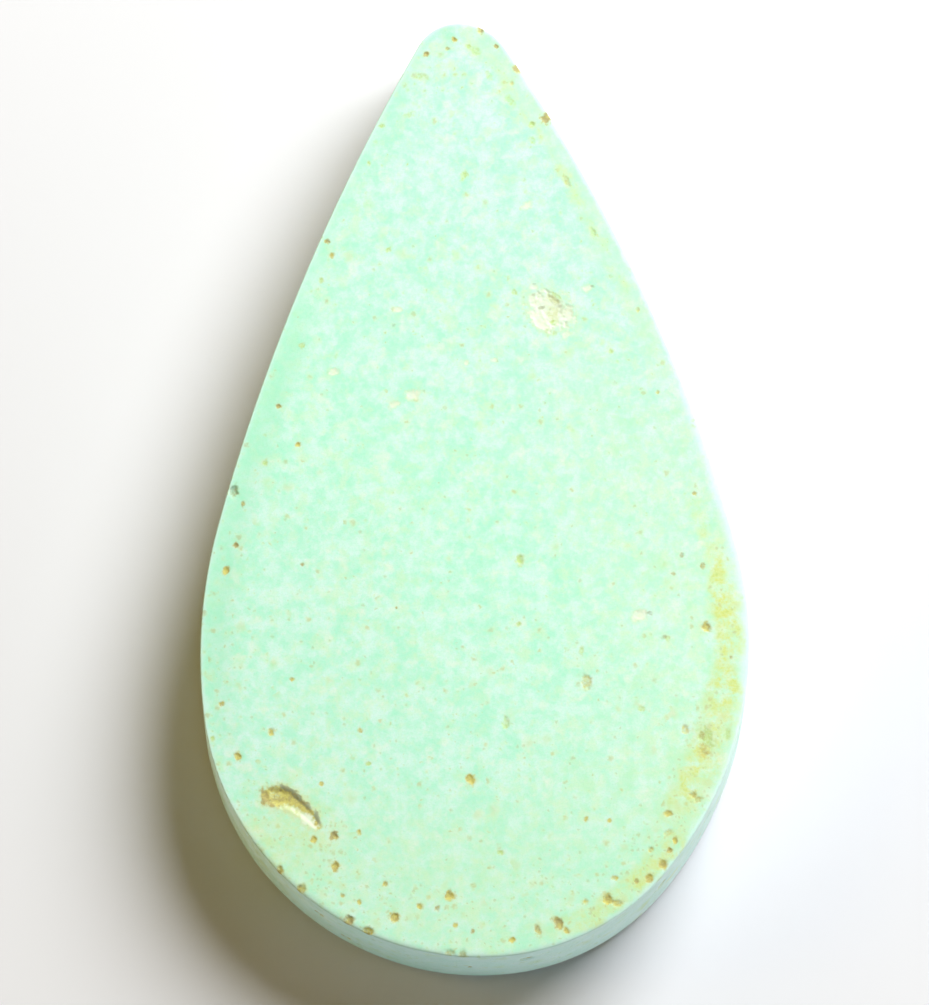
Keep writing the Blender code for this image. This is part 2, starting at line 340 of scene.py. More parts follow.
# Pieces broken out of the rim, with their centres close to its edge.
RIM_CHIPS = (
    *pits(Fill.ASH, (-9.88, 0.22, 0.24, 0.24, 0, 0.6)),
    *pits(Fill.UMBER,
        (-5.66, -18.24, 0.24, 0.20, -25, 0.75), (2.70, 17.97, 0.22, 0.18, 30, 0.95),
        (3.83, 15.76, 0.26, 0.19, 30, 0.9), (1.20, 19.69, 0.15, 0.17, 0, 0.8)),
    *pits(Fill.OCHRE,
        (-8.47, -16.00, 0.15, 0.21, 0, 0.75), (-7.61, -16.82, 0.20, 0.24, 0, 0.6),
        (-4.87, -18.72, 0.26, 0.20, -20, 0.7), (-1.51, -19.77, 0.22, 0.18, 0, 0.45),
        (-1.01, -19.87, 0.18, 0.17, 0, 0.45)),
)

# The pale, shallow scar near the right flank: its pale lobes are its own colour, and the white lobe on its
# lower left is partly painted light on its lit lip; the dark olive arc and grey-olive dashes along its
# upper parts are painted shade.
SCAR = (
    *pits(Fill.CREAM, (3.66, 7.52, 0.66, 0.94, 42, 0.75)),
    *pits(Fill.STRAW, (3.80, 7.36, 0.34, 0.46, 0, 0.55)),
    # Partly painted light: the white lobe at (3.23, 7.11) on the scar's lower-left lip.
    *pits(Fill.CREAM,
        (3.06, 7.88, 0.27, 0.42, 20, 0.64), (3.23, 7.11, 0.31, 0.63, 34),
        (4.40, 7.30, 0.30, 0.34, 0, 0.85), (3.04, 8.50, 0.20, 0.14, 0, 0.7)),
    *pits(Fill.STRAW, (3.84, 7.96, 0.34, 0.15, -32, 0.7)),
    *pits(Fill.CREAM, (4.30, 6.42, 0.20, 0.17, 0, 0.65), (5.30, 8.38, 0.22, 0.14, 15, 0.75)),
    # Painted shade: a dark arc along the scar's upper-right wall, and a dark dash inside it.
    *pits(Fill.OLIVE, (4.00, 8.08, 0.32, 0.09, -36, 0.6)),
    *pits(Fill.ASH, (3.32, 7.60, 0.17, 0.09, 10, 0.6)),
    *pits(Fill.STRAW, (3.70, 7.24, 0.12, 0.30, 14, 0.75)),
    *pits(Fill.OLIVE, (3.82, 6.96, 0.16, 0.12, 30, 0.55)),
    # Painted shade: small dark dashes where the scar's walls lie in shade.
    *pits(Fill.ASH,
        (3.02, 8.16, 0.15, 0.09, 0, 0.42), (3.06, 8.62, 0.10, 0.07, 0, 0.48),
        (3.68, 7.52, 0.09, 0.08, 0, 0.48), (4.05, 7.66, 0.22, 0.09, -10, 0.42),
        (4.46, 7.66, 0.22, 0.10, -25, 0.42)),
    *pits(Fill.OLIVE, (3.84, 6.47, 0.12, 0.12, 0, 0.5), (2.18, 8.30, 0.14, 0.14, 0, 0.6)),
    *pits(Fill.ASH, (5.50, 8.44, 0.10, 0.08, -30, 0.6)),
)

GROOVE = (
    Station(-8.80, -12.86, 0.30, 0.06), Station(-8.62, -12.88, 0.42, 0.10),
    Station(-8.30, -12.92, 0.46, 0.11), Station(-8.02, -13.02, 0.43, 0.10),
    Station(-7.76, -13.21, 0.37, 0.08), Station(-7.52, -13.43, 0.32, 0.06),
    Station(-7.28, -13.66, 0.28, 0.05), Station(-7.06, -13.88, 0.24, 0.04),
    Station(-6.86, -14.18, 0.18, 0.03),
)

# What is painted in the groove: tan in its head, painted light in straw and cream along its lower-left
# edge, whose wall faces the lamp, and painted shadow in grey-olive along its upper-right one.
GROOVE_FILLS = (
    *pits(Fill.CREAM, (-8.56, -12.82, 0.30, 0.20, 0, 0.4)),
    # Painted light along the groove's lower-left edge.
    *pits(Fill.STRAW, (-7.98, -13.42, 0.30, 0.18, -20, 0.8), (-7.62, -13.57, 0.32, 0.22, -38, 0.85)),
    *pits(Fill.CREAM, (-7.28, -13.86, 0.30, 0.23, -44, 0.85), (-6.98, -14.12, 0.24, 0.22, -48, 0.85)),
    *pits(Fill.OCHRE, (-7.50, -13.36, 0.36, 0.11, -42, 0.9), (-6.88, -14.08, 0.10, 0.12, 0, 0.8)),
    *pits(Fill.UMBER, (-8.98, -12.88, 0.16, 0.34, 10, 0.95), (-8.74, -13.22, 0.24, 0.11, -30, 0.75)),
    # Painted shadow along the groove's upper-right wall.
    *pits(Fill.ASH,
        (-8.04, -12.57, 0.38, 0.10, -22, 0.95), (-7.64, -12.93, 0.34, 0.12, -46),
        (-7.22, -13.33, 0.26, 0.11, -44, 0.8), (-6.84, -13.82, 0.10, 0.30, 20, 0.85)),
)

# Small marks that only colour the face, or barely dent it.
MARKS = (
    *pits(Fill.OLIVE,
        (-1.35, 17.75, 0.36, 0.20, -15, 0.45), (0.95, 18.75, 0.26, 0.22, 0, 0.5),
        (1.45, 17.70, 0.24, 0.14, -50, 0.4), (2.30, 16.60, 0.30, 0.16, -55, 0.45),
        (3.20, 14.80, 0.24, 0.14, -45, 0.4), (-1.95, 16.10, 0.24, 0.14, 20, 0.4),
        (0.28, 13.41, 0.20, 0.12, 60), (0.68, 18.99, 0.10, 0.10), (-3.11, 15.70, 0.12, 0.10),
        (-3.70, 14.10, 0.10, 0.10), (-3.01, 10.32, 0.10, 0.12), (-5.90, 9.12, 0.10, 0.12),
        (-6.79, 6.33, 0.12, 0.10), (-8.49, 1.34, 0.12, 0.16), (-11.08, -10.32, 0.10, 0.12),
        (-4.60, -11.62, 0.12, 0.10), (4.47, -7.13, 0.10, 0.14), (1.88, -5.93, 0.10, 0.12),
        (6.17, 5.63, 0.10, 0.10), (0.78, -15.60, 0.16, 0.12), (6.86, -9.72, 0.16, 0.12),
        (8.06, -6.73, 0.14, 0.10), (9.50, -11.12, 0.36, 0.62, 10, 0.8),
        (10.40, -10.92, 0.14, 0.26, 0, 0.6)),
    *pits(Fill.CREAM,
        (-2.21, 4.04, 0.30, 0.22, 20), (-3.01, 3.64, 0.20, 0.14, 30), (-2.71, 7.72, 0.18, 0.12),
        (-5.50, 5.13, 0.20, 0.14), (2.88, 12.01, 0.22, 0.12, 30), (0.08, 5.33, 0.10, 0.10),
        (1.28, 5.43, 0.12, 0.10), (6.96, -5.73, 0.30, 0.24, 20)),
    *pits(Fill.UMBER,
        (-9.49, -0.35, 0.10, 0.14, 0, 0.7), (-7.09, -3.04, 0.10, 0.10, 0, 0.65),
        (-3.21, -5.04, 0.06, 0.06), (9.65, -3.74, 0.10, 0.12, 0, 0.8), (9.36, -10.90, 0.14, 0.22, 0, 0.5),
        (8.43, -4.01, 0.10, 0.10, 0, 0.45), (10.70, -7.66, 0.09, 0.09, 0, 0.6),
        (-0.51, -18.89, 0.10, 0.10)),
    *pits(Fill.OCHRE,
        (-7.69, -7.93, 0.10, 0.10, 0, 0.8), (-4.90, -10.22, 0.12, 0.10, 0, 0.8),
        (-6.60, -12.41, 0.12, 0.12), (4.37, -14.31, 0.10, 0.10), (5.37, -14.41, 0.10, 0.12),
        (9.42, -11.62, 0.30, 0.26, 0, 0.6), (9.34, -11.34, 0.14, 0.12, 0, 0.5),
        (-1.21, -18.60, 0.10, 0.10), (-5.10, -14.51, 0.10, 0.12)),
    *pits(Fill.ASH,
        (7.95, -6.69, 0.13, 0.11, 20, 0.6), (7.37, -5.64, 0.13, 0.10, 0, 0.5),
        (8.81, -3.22, 0.09, 0.12, 0, 0.55)),
)

PIT_DEPTH = 0.30  # a hollow's depth as a share of its smaller half size
CHIP_DEPTH = 0.60
MARK_DEPTH = 0.12
SCAR_DEPTH = 0.12
BASE_PIT_DEPTH = 0.60
MARK_AMOUNT = (0.35, 0.40)  # how much lies in any mark, and what its own amount adds
REFINED = 1.5  # how far fine triangles reach round a hollow, as a share of its size
NEAR_CHIP = 2.0  # how far the outline is finely cut round a chip, in the same way


@dataclass
class Relief:
    """Depths and fills that hollows give to points of a sheet."""

    points: Array
    depth: Array = field(init=False)
    halo: Array = field(init=False)
    fills: dict[Fill, Array] = field(init=False)
    edge_coarse: Grain = Grain(0.30, 0.30, 2, 5.2)
    edge_fine: Grain = Grain(0.32, 0.13, 2, 6.6)
    floor_rough: Grain = Grain(0.14, 0.18, 2, 9.1)
    bowl: Rise = (0.35, 1.10)
    laid: Rise = (0.45, 1.55)
    dusted: Rise = (0.9, 2.1)
    cleared: float = 0.9
    groove_rag: float = 0.7

    def __post_init__(self) -> None:
        """Starts with a flat, clean sheet and the wobble that its hollows share."""
        count = len(self.points)
        self.depth = np.zeros(count)
        self.halo = np.zeros(count)
        self.fills = {fill: np.zeros(count) for fill in Fill}
        self.wobble = self.edge_coarse.at(self.points) + self.edge_fine.at(self.points)
        self.rough = self.floor_rough.at(self.points)

    def add(self, reach: Array, depth: Array, fill: Fill, amount: float = 1.0) -> None:
        """Sinks one hollow.

        Args:
            reach: Distance from the hollow's middle as a share of its size, for each point.
            depth: How deep it is, in millimetres, one number or one for each point.
            fill: What lies in it.
            amount: How much of that lies in it, up to 1.
        """
        ragged = reach + self.wobble * np.minimum(reach, 1.5)
        bowl = 1.0 - ramp(ragged, *self.bowl)
        sunk = depth * bowl * (1.0 + self.rough * bowl)
        self.depth = np.maximum(self.depth, sunk)
        laid = amount * (1.0 - ramp(ragged, *self.laid))
        order = list(Fill)
        for darker in order[order.index(fill) + 1 :]:
            self.fills[darker] *= 1.0 - self.cleared * laid
        self.fills[fill] = np.maximum(self.fills[fill], laid)
        self.halo = np.maximum(self.halo, amount * (1.0 - ramp(ragged, *self.dusted)))

    def pit(self, pit: Pit, share: float) -> None:
        """Sinks one pit, its depth that share of its smaller half size."""
        depth = share * min(pit.half_width, pit.half_length) * pit.amount
        self.add(pit_reach(self.points, pit), depth, pit.fill, pit.amount)

    def groove(self, stations: tuple[Station, ...], fill: Fill) -> None:
        """Sinks a groove along its stations, with that fill in it."""
        reach, depth = groove_reach(self.points, stations)
        self.add(reach - self.groove_rag * self.wobble, depth, fill)


def pit_reach(points: Array, pit: Pit) -> Array:
    """Distance of points from a pit's middle, as a share of its size in that direction.

    Args:
        points: Rows that start with x and y.
        pit: The pit.

    Returns:
        The distance for each point.
    """
    turn = math.radians(pit.turn)
    across = points[:, 0] - pit.x
    along = points[:, 1] - pit.y
    u = (across * math.cos(turn) + along * math.sin(turn)) / pit.half_width
    v = (along * math.cos(turn) - across * math.sin(turn)) / pit.half_length
    return np.hypot(u, v)


def groove_reach(points: Array, stations: tuple[Station, ...]) -> tuple[Array, Array]:
    """Distance of points from a groove's middle line, as a share of its half width.

    Args:
        points: Rows of x and y.
        stations: The groove's middle line.

    Returns:
        The distance for each point, and the groove's depth at the nearest place.
    """
    reach = np.full(len(points), np.inf)
    depth = np.zeros(len(points))
    for here, after in zip(stations, stations[1:]):
        start = np.array((here.x, here.y))
        run = np.array((after.x, after.y)) - start
        share = np.clip((points - start) @ run / (run @ run), 0.0, 1.0)
        gap = np.linalg.norm(points - start - share[:, None] * run, axis=1)
        width = here.half_width + (after.half_width - here.half_width) * share
        nearer = gap / width < reach
        reach = np.where(nearer, gap / width, reach)
        depth = np.where(nearer, here.depth + (after.depth - here.depth) * share, depth)
    return reach, depth


# ---- the stone's mesh


class Part(Enum):
    """The stone's two finishes, in the order of its material slots."""

    FACE = 0
    SAWN = 1


@dataclass
class Patch:
    """One part of the stone's surface before the parts are joined."""

    points: Array
    fills: dict[Fill, Array]
    halo: Array
    gap: Array
    nearest: Array


@dataclass
class Sheet:
    """A flat area inside a loop, filled with triangles that are finer where it is busy."""

    loop: Array
    rows: Array
    spacing: float
    fineness: int = 3
    jitter: float = 0.22

    def fill(self, busy: Callable[[Array], Array], clear: Callable[[Array], Array]) -> None:
        """Scatters points over the area and joins them into triangles.

        Args:
            busy: Says which points lie where triangles are fine.
            clear: Says which points lie well inside the loop and off its rows.
        """
        chance = np.random.default_rng(SEED)
        fine = self.spacing / self.fineness
        low, high = self.loop.min(axis=0), self.loop.max(axis=0)
        rise = fine * math.sqrt(0.75)
        j, i = np.mgrid[0 : int((high[1] - low[1]) / rise) + 1, 0 : int((high[0] - low[0]) / fine) + 1]
        lattice = np.stack(((i + 0.5 * (j % 2)) * fine, j * rise), axis=-1).reshape(-1, 2) + low
        # A coarse point also lies on the lattice that is fineness times as wide.
        along = (i - (j - j % 2) // 2).reshape(-1)
        coarse = (along % self.fineness == 0) & (j.reshape(-1) % self.fineness == 0)
        near = busy(lattice)
        lattice, near = lattice[near | coarse], near[near | coarse]
        kept = clear(lattice)
        lattice, near = lattice[kept], near[kept]
        stray = np.where(near, fine, self.spacing)[:, None] * self.jitter
        spots = lattice + chance.uniform(-1.0, 1.0, lattice.shape) * stray
        self.points = np.concatenate((self.loop, self.rows, spots))
        count = len(self.loop)
        ring = [(step, (step + 1) % count) for step in range(count)]
        corners = [Vector(point) for point in self.points.tolist()]
        made = delaunay_2d_cdt(corners, ring, [], 1, 1e-7, False)
        self.triangles = np.array([tuple(triangle) for triangle in made[2]], int)


@dataclass(frozen=True)
class Weathering:
    """Where the stone is stained, specked, warm in colour or rubbed, and where shade and light are painted
    on it: painted shade along the left rim and a painted highlight along the right edge.

    Rises and runs are in mm: in y, upwards or from the middle to the foot, or in distance in from
    the outline. Only facing, in the outward direction's x, and left_depth, a share of the left
    rim's width, aren't.
    """

    facing: Rise = (0.1, 0.5)
    loose: Grain = Grain(0.35, 2.2, 3, 7.7)
    inner: Grain = Grain(0.25, 1.1, 3, 2.7)
    flank: Rise = (3.0, 7.0)
    flank_strip: Rise = (0.75, 1.15)
    seam: Run = (0.50, 0.72, 0.88, 1.15)
    seam_breaks: Grain = Grain(1.0, 0.9, 3, 21.1)
    seam_stained: Run = (7.0, 10.0, 16.5, 19.0)
    belly: Run = (-16.0, -12.5, -5.0, 1.0)
    belly_low: Rise = (6.0, 9.5)
    frayed: Grain = Grain(0.45, 1.4, 4, 12.7)
    stain_middle: float = 1.0
    stain_width: tuple[float, float] = (0.48, 0.14)
    spill_place: tuple[float, float] = (-8.3, -14.4)
    spill_size: tuple[float, float] = (2.2, 2.0)
    spill_frays: Grain = Grain(0.4, 1.5, 3, 31.0)
    foot: Rise = (11.5, 16.0)
    foot_specks: Run = (0.1, 0.5, 1.8, 4.2)
    rim: Run = (0.05, 0.25, 0.75, 1.3)
    rim_right: Run = (-19.8, -18.6, -15.5, -13.5)
    side: Rise = (-4.0, 4.0)
    side_depth: Rise = (0.8, 3.0)
    tip: Rise = (15.5, 18.0)
    lower: Rise = (2.0, 12.0)
    glow: Run = (-16.0, -12.5, 1.0, 9.0)
    glow_depth: Rise = (2.5, 9.0)
    # Painted shade along the left rim: where it narrows upwards, starts, fades, and how far in it reaches.
    left_narrows: Rise = (3.0, 12.0)
    left_low: Rise = (-12.0, -5.0)
    left_high: Rise = (6.0, 14.0)
    left_depth: Rise = (0.2, 1.1)
    # Painted highlight: a paler strip along the right edge, where the rounded rim faces the key lamp.
    bevel_highlight: Run = (-12.5, -8.0, 2.0, 6.0)
    highlight_depth: Rise = (0.10, 0.50)
    worn_depth: Rise = (0.02, 0.20)

    def values(self, points: Array, gap: Array, outward_x: Array) -> dict[str, Array]:
        """The shares that the finish reads from the mesh.

        Args:
            points: Rows of x, y and z.
            gap: How far each lies inside the outline.
            outward_x: The outward direction's x at the nearest outline place of each.

        Returns:
            The shares by name, each from 0 to 1.
        """
        y = points[:, 1]
        right = ramp(outward_x, *self.facing)
        left = ramp(-outward_x, *self.facing)
        loose = gap + self.loose.at(points)
        inner = gap + self.inner.at(points)
        flank = right * ramp(y, *self.flank)
        seam = flank * hump(inner, *self.seam) * ramp(self.seam_breaks.at(points), -0.35, 0.35)
        strip = flank * (1.0 - ramp(loose, *self.flank_strip))
        least, more = self.stain_width
        width = least + more * ramp(-y, *self.belly_low)
        off_middle = np.abs(gap + self.frayed.at(points) - self.stain_middle) / width
        stain = right * hump(y, *self.belly) * (1.0 - ramp(off_middle, 0.30, 1.6))
        stain = np.maximum(stain, 0.5 * seam * hump(y, *self.seam_stained))
        away = (points[:, :2] - self.spill_place) / self.spill_size
        spill = np.hypot(away[:, 0], away[:, 1]) + self.spill_frays.at(points)
        stain = np.maximum(stain, 0.40 * (1.0 - ramp(spill, 0.4, 1.5)))
        foot = ramp(-y, *self.foot)
        rim = hump(inner, *self.rim) * right * hump(y, *self.rim_right)
        side = left * ramp(-y, *self.side) * (1.0 - ramp(loose, *self.side_depth))
        near = foot * hump(loose, *self.foot_specks)
        specks = 0.30 + 0.45 * stain + 0.3 * near + 0.2 * rim + 0.2 * side + 0.35 * seam
        specks = specks + 0.2 * ramp(y, *self.tip) + 0.10 * ramp(-y, *self.lower)
        glow = right * hump(y, *self.glow) * (1.0 - ramp(loose, *self.glow_depth))
        warm = 0.32 * foot + 0.65 * glow + 0.4 * seam + 0.4 * strip
        edge = 1.6 - 0.9 * ramp(y, *self.left_narrows)
        upper = ramp(y, *self.left_low) * (1.0 - 0.4 * ramp(y, *self.left_high))
        # Painted highlight along the right edge.
        bevel_highlight = right * hump(y, *self.bevel_highlight) * (1.0 - ramp(gap, *self.highlight_depth))
        return {
            "stain": np.maximum(stain, 0.75 * rim),
            "specks": np.clip(specks, 0.0, 1.0),
            "warm": np.clip(warm, 0.0, 1.0),
            # Rubbed edges all round, with the painted highlight along the right edge on top.
            "wear_and_highlight": np.maximum(1.0 - ramp(gap, *self.worn_depth), bevel_highlight),
            "moss": np.clip(0.25 * foot + 0.5 * strip + 0.5 * rim, 0.0, 1.0),
            # Painted shade: the left rim, which slopes away from the key lamp, tinted towards the deep
            # mint.
            "left_rim_shade": left * (1.0 - ramp(loose / edge, *self.left_depth)) * upper,
        }


@dataclass
class TeardropStone:
    """The stone: face, rim, walls and base in one closed mesh, with the hollows worked in."""

    outline: Outline
    edges: Edges
    weathering: Weathering = Weathering()
    face_spacing: float = 0.135
    base_spacing: float = 0.5
    base_fineness: int = 4
    clearance: float = 0.12
    row_clearance: float = 0.045
    block: int = 4000
    rim_turns: tuple[float, ...] = (20.0, 42.0, 64.0, 90.0)
    base_steps: int = 5
    wall_step: float = 0.2
    top_step: float = 0.08
    top_rows: int = 6
    wall_pits: int = 26
    wall_pit_size: tuple[float, float] = (0.12, 0.32)
    wall_pit_depth: float = 0.6
    wall_pit_room: tuple[float, float] = (0.9, 0.8)
    base_pits: int = 18
    base_pit_size: tuple[float, float] = (0.16, 0.42)
    base_ring: tuple[float, float] = (3.5, 9.0)
    base_ring_stretch: float = 1.4
    base_ring_y: float = -4.0
    swell_depth: float = 0.010
    swell: Grain = Grain(1.0, 7.0, 2, 1.3)
    tooth: Grain = Grain(0.002, 0.7, 3, 8.8)
    wall_swell: Grain = Grain(0.02, 3.0, 2, 4.4)
    wall_tooth: Grain = Grain(0.005, 0.5, 3, 6.1)
    wall_wobble: Grain = Grain(0.2, 0.25, 2, 2.6)
    wall_most: float = 0.01

    def busy(self, points: Array) -> Array:
        """Which points of the face lie in or close to a hollow."""
        near = groove_reach(points, GROOVE)[0] < REFINED
        for pit in (*SEAM_PITS, *FACE_PITS, *FOOT_PITS, *RIM_CHIPS, *MARKS, *SCAR, *GROOVE_FILLS):
            near |= pit_reach(points, pit) < REFINED
        return near

    def near_chip(self, x: float, y: float) -> bool:
        """Whether a place on the outline is close to a rim chip."""
        spot = np.array(((x, y),))
        return any(pit_reach(spot, chip)[0] < NEAR_CHIP for chip in RIM_CHIPS)

    def inset(self, points: Array) -> tuple[Array, Array]:
        """How far points lie inside the outline.

        Args:
            points: Rows of x and y.

        Returns:
            The distance for each point, and the index of the nearest outline place.
        """
        nearest = np.empty(len(points), int)
        for start in range(0, len(points), self.block):
            rows = slice(start, start + self.block)
            offsets = points[rows, None, :] - self.places[None, :, :]
            nearest[rows] = (offsets**2).sum(axis=2).argmin(axis=1)
        gap = np.einsum("ij,ij->i", self.places[nearest] - points, self.outward[nearest])
        return gap, nearest

    def face(self) -> tuple[Sheet, Patch]:
        """The face, out to the top of the wall, with its rim, its waviness and its hollows.

        Returns:
            Its triangles and its patch.
        """
        insets = [self.widths * (1.0 - math.cos(math.radians(turn))) for turn in self.rim_turns]
        rows = np.concatenate([self.places - self.outward * inset[:, None] for inset in insets])
        sheet = Sheet(self.places, rows, self.face_spacing)

        def clear(points: Array) -> Array:
            """Which lattice points keep off the rim's own rows."""
            gap, nearest = self.inset(points)
            kept = gap > self.clearance
            for inset in insets:
                kept &= np.abs(gap - inset[nearest]) > self.row_clearance
            return kept

        sheet.fill(self.busy, clear)
        spots = sheet.points
        edges = self.edges
        gap, nearest = self.inset(spots)
        past = np.clip(1.0 - gap / self.widths[nearest], 0.0, 1.0)
        height = edges.thickness - self.drops[nearest] * (1.0 - np.sqrt(1.0 - past**2))
        left = ramp(-self.outward[nearest, 0], 0.0, 0.5) * ramp(spots[:, 1], *edges.shoulder_rise)
        height -= edges.shoulder_drop * left * (1.0 - ramp(gap, 0.0, edges.shoulder))
        height += self.swell_depth * (self.swell.at(spots) - 1.0)
        height += self.tooth.at(spots)
        relief = Relief(spots)
        least, more = MARK_AMOUNT
        marks = [mark._replace(amount=least + more * mark.amount) for mark in MARKS]
        for hollows, share in (
            ((*SEAM_PITS, *FACE_PITS, *FOOT_PITS), PIT_DEPTH),
            (RIM_CHIPS, CHIP_DEPTH),
            (marks, MARK_DEPTH),
            (SCAR, SCAR_DEPTH),
        ):
            for pit in hollows:
                relief.pit(pit, share)
        relief.groove(GROOVE, Fill.OCHRE)
        for part in GROOVE_FILLS:
            relief.pit(part, 0.0)
        places = np.column_stack((spots, height - relief.depth))
        return sheet, Patch(places, relief.fills, relief.halo, gap, nearest)

    def wall(self, tops: Array) -> Patch:
        """The wall's rows of points between the base's edge and the face's.

        Args:
            tops: The height of the wall's top at each outline place.

        Returns:
            The patch, with each row of points after the last.
        """
        count = len(tops)
        radius = self.edges.base
        top = self.edges.thickness
        span = top - radius
        turns = [math.pi / 2 * step / self.base_steps for step in range(1, self.base_steps + 1)]
        insets = [radius * (1.0 - math.sin(turn)) for turn in turns]
        heights = [np.full(count, radius * (1.0 - math.cos(turn))) for turn in turns]
        low_rows = int((span - self.top_step * (self.top_rows + 1)) / self.wall_step)
        shares = [step * self.wall_step / span for step in range(1, low_rows + 1)]
        shares += [1.0 - self.top_step * step / span for step in range(self.top_rows, 0, -1)]
        insets += [0.0] * len(shares)
        heights += [radius + (tops - radius) * share for share in shares]
        height = np.concatenate(heights)
        nearest = np.tile(np.arange(count), len(heights))
        spots = np.column_stack((self.places[nearest], height))
        free = hump(height, 0.0, 0.6, top - 0.7, top - 0.1)
        push = (self.wall_swell.at(spots) + self.wall_tooth.at(spots) - self.wall_most) * free
        sunk, fills = self.wall_hollows(spots)
        gap = np.repeat(insets, count) - np.minimum(push, self.wall_most) + sunk
        spots[:, :2] -= self.outward[nearest] * gap[:, None]
        return Patch(spots, fills, fills[Fill.OCHRE], gap, nearest)

    def wall_hollows(self, spots: Array) -> tuple[Array, dict[Fill, Array]]:
        """Small hollows scattered round the wall.

        Args:
            spots: The wall's points.

        Returns:
            How deep each point is sunk, and the fills.
        """
        chance = np.random.default_rng(SEED + 1)
        below, above = self.wall_pit_room
        wobble = self.wall_wobble.at(spots)
        sunk = np.zeros(len(spots))
        for step in range(self.wall_pits):
            at = int((step + chance.random()) * len(self.places) / self.wall_pits)
            up = chance.uniform(below, self.edges.thickness - above)
            size = chance.uniform(*self.wall_pit_size)
            middle = (*self.places[at % len(self.places)], up)
            reach = np.linalg.norm((spots - middle) / (size, size, 0.8 * size), axis=1)
            bowl = 1.0 - ramp(reach + wobble * np.minimum(reach, 1.5), 0.4, 1.1)
            sunk = np.maximum(sunk, bowl * size * self.wall_pit_depth)
        fills = {fill: np.zeros(len(spots)) for fill in Fill}
        fills[Fill.OCHRE] = np.clip(sunk / 0.09, 0.0, 1.0)
        return sunk, fills

    def base_hollows(self) -> list[Pit]:
        """Small hollows scattered in a ring over the ground base, clear of its middle."""
        chance = np.random.default_rng(SEED + 2)
        hollows = []
        for step in range(self.base_pits):
            turn = math.tau * (step + chance.random()) / self.base_pits
            reach = chance.uniform(*self.base_ring)
            size = chance.uniform(*self.base_pit_size)
            x = reach * math.cos(turn)
            y = self.base_ring_stretch * reach * math.sin(turn) + self.base_ring_y
            hollows.append(Pit(x, y, size, size * chance.uniform(0.8, 1.4), 360 * chance.random()))
        return hollows

    def base(self) -> tuple[Sheet, Patch]:
        """The ground base inside its rounded edge.

        Returns:
            Its triangles and its patch.
        """
        hollows = self.base_hollows()
        radius = self.edges.base
        loop = self.places - self.outward * radius
        sheet = Sheet(loop, np.empty((0, 2)), self.base_spacing, self.base_fineness)

        def busy(points: Array) -> Array:
            """Which points lie in or close to a hollow."""
            return np.any([pit_reach(points, pit) < REFINED for pit in hollows], axis=0)

        def clear(points: Array) -> Array:
            """Which points lie well inside the loop."""
            return self.inset(points)[0] > radius + self.clearance

        sheet.fill(busy, clear)
        relief = Relief(sheet.points)
        for pit in hollows:
            relief.pit(pit, BASE_PIT_DEPTH)
        gap, nearest = self.inset(sheet.points)
        height = relief.depth * ramp(gap, radius, radius + 0.3)
        places = np.column_stack((sheet.points, height))
        return sheet, Patch(places, relief.fills, relief.halo, gap, nearest)

    def build(self) -> Object:
        """Makes the stone's mesh.

        Returns:
            The stone, in metres, in the row frame.
        """
        self.places, self.outward = self.outline.loop(self.near_chip)
        self.widths = self.edges.width(self.places, self.outward[:, 0])
        self.drops = self.edges.drop(self.places, self.widths)
        count = len(self.places)
        face_sheet, face = self.face()
        base_sheet, base = self.base()
        wall = self.wall(face.points[:count, 2])
        patches = (base, wall, face)
        points, gap, nearest, halo = (
            np.concatenate([getattr(patch, name) for patch in patches])
            for name in ("points", "gap", "nearest", "halo")
        )

        face_start = len(base.points) + len(wall.points)
        rings = np.arange(len(base.points), face_start + count).reshape(-1, count)
        rings = np.vstack((np.arange(count), rings))
        after = np.roll(rings, -1, axis=1)
        quads = np.stack((rings[:-1], after[:-1], after[1:], rings[1:]), axis=-1).reshape(-1, 4)
        faces = base_sheet.triangles[:, ::-1].tolist() + quads.tolist()
        sawn = len(faces)
        faces += (face_sheet.triangles + face_start).tolist()

        mesh = bpy.data.meshes.new(NODE + "_stone")
        mesh.from_pydata((points * MM).tolist(), [], faces)
        slots = np.full(len(faces), Part.FACE.value)
        slots[:sawn] = Part.SAWN.value
        mesh.polygons.foreach_set("material_index", slots)
        values = self.weathering.values(points, gap, self.outward[nearest, 0])
        values["halo"] = halo
        for fill in Fill:
            values[fill.value] = np.concatenate([patch.fills[fill] for patch in patches])
        for name, amounts in values.items():
            layer = mesh.attributes.new(name, "FLOAT", "POINT")
            layer.data.foreach_set("value", amounts.astype(np.float32))
        mesh.shade_smooth()
        stone = placed(NODE + "_stone", mesh)
        log.info("stone: %d points, %d faces", len(points), len(faces))
        return stone


# ---- shading


class Cloud(NamedTuple):
    """A noise texture: grains per mm, detail, roughness, and an offset that tells it from others."""

    grains: float
    detail: float
    rough: float
    shift: float


